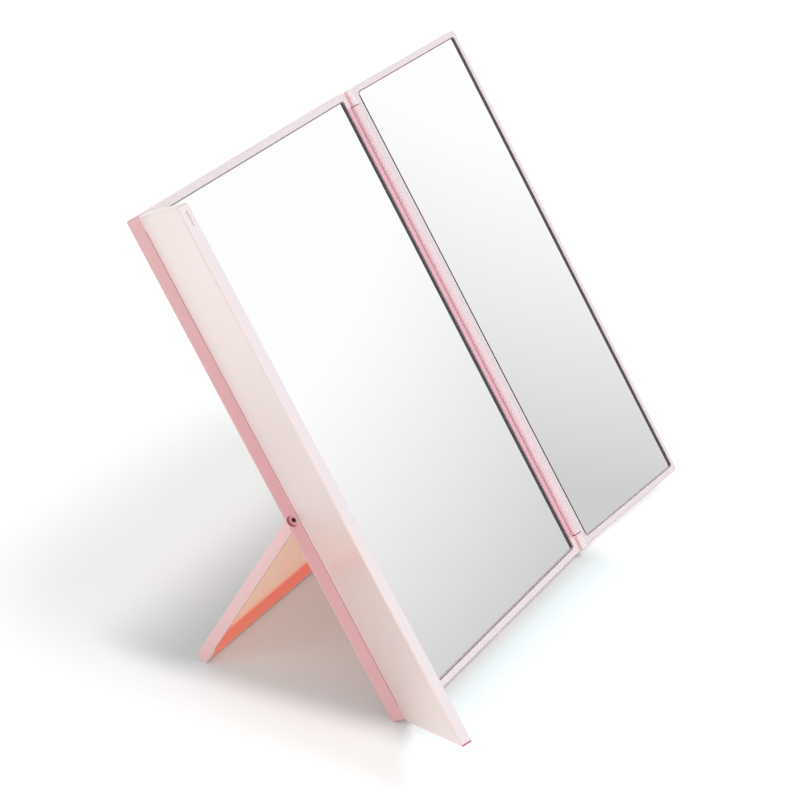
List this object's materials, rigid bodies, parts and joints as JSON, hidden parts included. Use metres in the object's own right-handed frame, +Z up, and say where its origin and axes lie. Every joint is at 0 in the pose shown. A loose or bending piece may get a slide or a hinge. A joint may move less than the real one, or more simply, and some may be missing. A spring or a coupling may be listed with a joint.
{
  "type": "trifold vanity mirror",
  "caption": "Slim folding table mirror with a centre panel, two hinged mirrored side wings and a fold-out stand behind it.",
  "frame": {"origin": "on the table plane, under the middle of the standing mirror's bounding box", "axes": "+X to the right as the user sees the mirror, +Y away from the user towards the stand, +Z up"},
  "size_m": [0.2278, 0.139, 0.1757],
  "materials": {
    "pink_shell": "glossy pale pink moulded plastic",
    "pink_stand": "pale pink moulded plastic, slightly less glossy",
    "mirror_glass": "silvered float glass with ground edges",
    "adhesive_sheet": "thin double-sided foam sheet",
    "steel_pin": "drawn steel wire",
    "black_steel": "blackened steel",
    "nylon": "natural nylon"
  },
  "bodies": {
    "centre_panel": {"centre_frame": "pink_shell", "rear_cover": "pink_shell", "cover_screws": "black_steel", "centre_mirror": "mirror_glass", "centre_mirror_tape": "adhesive_sheet", "left_top_hinge_pin": "steel_pin", "left_bottom_hinge_pin": "steel_pin", "right_top_hinge_pin": "steel_pin", "right_bottom_hinge_pin": "steel_pin", "stand_washers": "nylon"},
    "left_wing": {"left_wing_shell": "pink_shell", "left_wing_mirror": "mirror_glass", "left_wing_tape": "adhesive_sheet", "left_friction_sleeves": "nylon"},
    "right_wing": {"right_wing_shell": "pink_shell", "right_wing_mirror": "mirror_glass", "right_wing_tape": "adhesive_sheet", "right_friction_sleeves": "nylon"},
    "stand_body": {"stand": "pink_stand", "left_stand_pin": "black_steel", "right_stand_pin": "black_steel"}
  },
  "joints": [
    {"name": "left_wing_hinge", "type": "hinge", "parent": "centre_panel", "child": "left_wing", "pos_m": [-0.0714, 0.01641, 0.07729], "axis": [0, 0.5369, 0.8436], "range_deg": [-49.4, 130.6]},
    {"name": "right_wing_hinge", "type": "hinge", "parent": "centre_panel", "child": "right_wing", "pos_m": [0.0526, 0.01641, 0.07729], "axis": [0, -0.5369, -0.8436], "range_deg": [-9.7, 170.3]},
    {"name": "stand_pivot", "type": "hinge", "parent": "centre_panel", "child": "stand_body", "pos_m": [-0.0094, 0.0118, 0.06091], "axis": [-1, 0, 0], "range_deg": [0, 62.1]}
  ]
}
